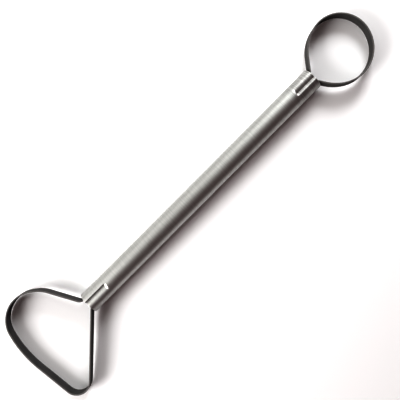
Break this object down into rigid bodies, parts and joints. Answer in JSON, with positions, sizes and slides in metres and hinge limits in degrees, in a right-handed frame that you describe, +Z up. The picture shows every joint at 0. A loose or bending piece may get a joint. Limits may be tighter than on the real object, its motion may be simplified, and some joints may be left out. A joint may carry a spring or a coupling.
{
  "type": "double-ended loop trimming tool",
  "caption": "Aluminium tube handle with a round and a pear-shaped spring-steel ribbon loop crimped into its ends, for trimming and hollowing clay.",
  "frame": {"origin": "under the middle of the handle, on the line where the tube touches the bench that the tool lies on", "axes": "+X along the handle towards the round loop, +Z up from the bench, +Y to the left of +X, so the pear-shaped loop is at -X with its tight corner at -Y"},
  "size_m": [0.17, 0.0415, 0.008],
  "materials": {
    "handle_aluminium": "satin, with fine streaks round the tube",
    "blade_steel": "dark blued spring steel with bright ground edges"
  },
  "bodies": {
    "root": {"handle_tube": "handle_aluminium", "round_loop_blade": "blade_steel", "pear_loop_blade": "blade_steel"}
  },
  "joints": []
}
